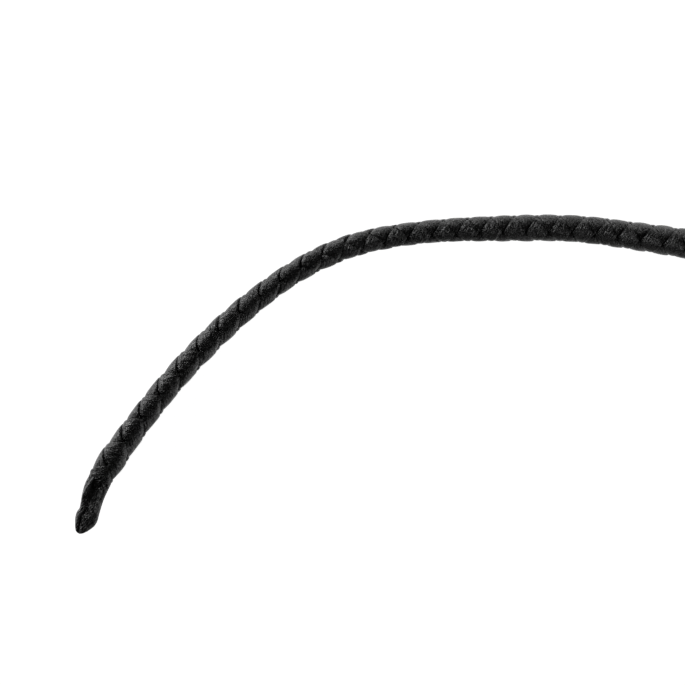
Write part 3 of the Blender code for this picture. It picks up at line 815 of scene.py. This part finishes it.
def add_strap():
    """The wrist strap, and the stitches along both edges of its outer side."""
    line, normals = strap_line()
    section = strip_section(0.09, corner_steps=3, flat_steps=10)
    section = np.stack((section[:, 0] * STRAP_WIDTH / 2, section[:, 1] * STRAP_THICKNESS / 2),
                       axis=1)
    piece = sweep("strap_leather_band", line, normals, section, STRAP_LEATHER)
    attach(piece, "wrist_loop")
    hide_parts("wrist_strap")
    seat = line + normals * (STRAP_THICKNESS / 2 + 0.00006)
    lines = []
    for start in range(0, len(line), STRAP_STITCH_STRIDE):
        picked = [(start + step) % len(line) for step in range(STRAP_STITCH_POINTS)]
        if line[picked, 0].min() < PIN_CENTRE.x + STRAP_STITCH_START:
            continue
        for height in (-STRAP_STITCH_HEIGHT, STRAP_STITCH_HEIGHT):
            lines.append(seat[picked] + (0.0, 0.0, height))
    stitches = add_threads("strap_stitches", lines, STRAP_THREAD_RADIUS, sides=6)
    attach(stitches, "wrist_loop")


def add_keeper():
    """The sliding keeper: a leather sleeve, round both legs of the strap, sewn at its underside."""
    centre = np.array((PIN_CENTRE.x + KEEPER_PLACE, PIN_CENTRE.y, PIN_CENTRE.z))
    half_y = STRAP_THICKNESS + GAP / 2 + GAP + KEEPER_WALL / 2
    half_z = STRAP_WIDTH / 2 + GAP + KEEPER_WALL / 2
    path, normals = [], []
    for corner_y, corner_z, first in ((1, 1, 0), (1, -1, 90), (-1, -1, 180), (-1, 1, 270)):
        for step in range(9):
            turn = math.radians(first + step * 90 / 8)
            out = np.array((0.0, math.sin(turn), math.cos(turn)))
            corner = np.array((0.0, corner_y * (half_y - KEEPER_CORNER),
                               corner_z * (half_z - KEEPER_CORNER)))
            path.append(centre + corner + out * KEEPER_CORNER)
            normals.append(out)
    section = strip_section(0.10, corner_steps=3, flat_steps=8)
    section = np.stack((section[:, 0] * KEEPER_HALF_LENGTH, section[:, 1] * KEEPER_WALL / 2),
                       axis=1)
    piece = sweep("keeper_sleeve", path, normals, section, STRAP_LEATHER)
    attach(piece, "loop_keeper")
    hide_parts("loop_keeper")
    share = np.linspace(-1, 1, 7)
    low = centre[2] - half_z - KEEPER_WALL / 2 - 0.00010
    lines = [stack(centre[0] + place + 0 * share, centre[1] + share * 0.0011,
                   low + 0.00030 * share ** 4)
             for place in np.arange(-0.0033, 0.0034, 0.0022)]
    stitches = add_threads("keeper_stitches", lines, STRAP_THREAD_RADIUS, sides=6)
    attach(stitches, "loop_keeper")


# Scene -----------------------------------------------------------------------------------------

def finish_cad_nodes():
    """Gives each solid that no piece replaces its material."""
    looks = {
        "strap_pin": PLATED_STEEL, "strap_rivet": PLATED_STEEL,
        "handle_core": HANDLE_WOOD, "tongue_root": TONGUE_LEATHER, "tip_binding": THREAD,
    }
    for name, material in looks.items():
        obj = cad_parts[name]
        obj.data.materials.clear()
        obj.data.materials.append(material)


def add_floor():
    """A plain pale floor that glows a little, as an overexposed backdrop does."""
    mesh = bpy.data.meshes.new("floor")
    half = FLOOR_HALF_WIDTH
    mesh.from_pydata([(-half, -half, 0), (half, -half, 0), (half, half, 0), (-half, half, 0)],
                     [], [(0, 1, 2, 3)])
    material, tree, shader = new_material("pale_floor")
    mottle = noise(tree, node(tree, "TexCoord").outputs["Object"], 40.0)
    tone = blend_colours(tree, mottle, (0.86, 0.86, 0.86, 1.0), (0.88, 0.88, 0.88, 1.0))
    tree.links.new(tone, shader.inputs["Base Color"])
    shader.inputs["Roughness"].default_value = 0.9
    shader.inputs["Specular IOR Level"].default_value = 0.1
    shader.inputs["Emission Color"].default_value = (1.0, 1.0, 1.0, 1.0)
    shader.inputs["Emission Strength"].default_value = 0.97
    mesh.materials.append(material)
    floor = bpy.data.objects.new("floor", mesh)
    bpy.context.scene.collection.objects.link(floor)
    floor.visible_glossy = False        # glossy leather mirrors the surroundings, not this


def add_light(name, azimuth, elevation, distance, size, power):
    """A soft square light that looks at the shaft's visible end."""
    data = bpy.data.lights.new(name, "AREA")
    data.size, data.energy = size, power
    light = bpy.data.objects.new(name, data)
    turn, rise = math.radians(azimuth), math.radians(elevation)
    away = Vector((math.cos(turn) * math.cos(rise), math.sin(turn) * math.cos(rise),
                   math.sin(rise)))
    light.location = Vector(VIEW_CENTRE) + away * distance
    light.rotation_euler = away.to_track_quat("Z", "Y").to_euler()
    bpy.context.scene.collection.objects.link(light)


def add_studio():
    """Surroundings that are pale low on the far side, dim on the near side and above, and faintly
    lit overhead, with two soft lights."""
    world = bpy.data.worlds.new("studio")
    world.use_nodes = True
    tree = world.node_tree
    tree.nodes.clear()
    direction = node(tree, "TexCoord").outputs["Generated"]
    height = node(tree, "SeparateXYZ", {0: direction}).outputs[2]
    turn = math.radians(PALE_SIDE)
    nearness = node(tree, "VectorMath", {0: direction, 1: (math.cos(turn), math.sin(turn), 0.0)},
                    operation="DOT_PRODUCT").outputs["Value"]
    level = arithmetic(tree, "MULTIPLY", spread(tree, height, -0.05, 0.18, 1.05, 0.025),
                       spread(tree, nearness, -1.0, 0.0, 0.04, 0.85))
    level = arithmetic(tree, "ADD", level, spread(tree, height, 0.86, 1.0, 0.0, 0.06))
    background = node(tree, "Background", {"Color": (1.0, 1.0, 1.0, 1.0), "Strength": level})
    node(tree, "OutputWorld", {"Surface": background.outputs[0]})
    bpy.context.scene.world = world
    bpy.context.scene.view_settings.view_transform = "Standard"
    add_light("key", azimuth=155, elevation=9, distance=1.1, size=0.5, power=6.4)
    add_light("fill", azimuth=335, elevation=6, distance=1.3, size=0.5, power=2.0)


def add_camera():
    """Straight above the shaft's free end, as in the photograph."""
    data = bpy.data.cameras.new("camera")
    data.lens, data.sensor_width = LENS, SENSOR
    camera = bpy.data.objects.new("camera", data)
    distance = VIEW_WIDTH * LENS / SENSOR
    camera.location = Vector(VIEW_CENTRE) + Vector((0.0, 0.0, distance))
    camera.rotation_euler = (0.0, 0.0, math.radians(VIEW_ROLL))
    data.clip_start, data.clip_end = 0.01, 50.0
    bpy.context.scene.collection.objects.link(camera)
    bpy.context.scene.camera = camera


add_laces()
add_cores()
add_tongue()
add_binding()
add_cover()
for knot, knot_place in KNOT_PLACES.items():
    add_knot(knot, knot_place)
add_cap()
add_strap()
add_keeper()
finish_cad_nodes()
add_floor()
add_studio()
add_camera()
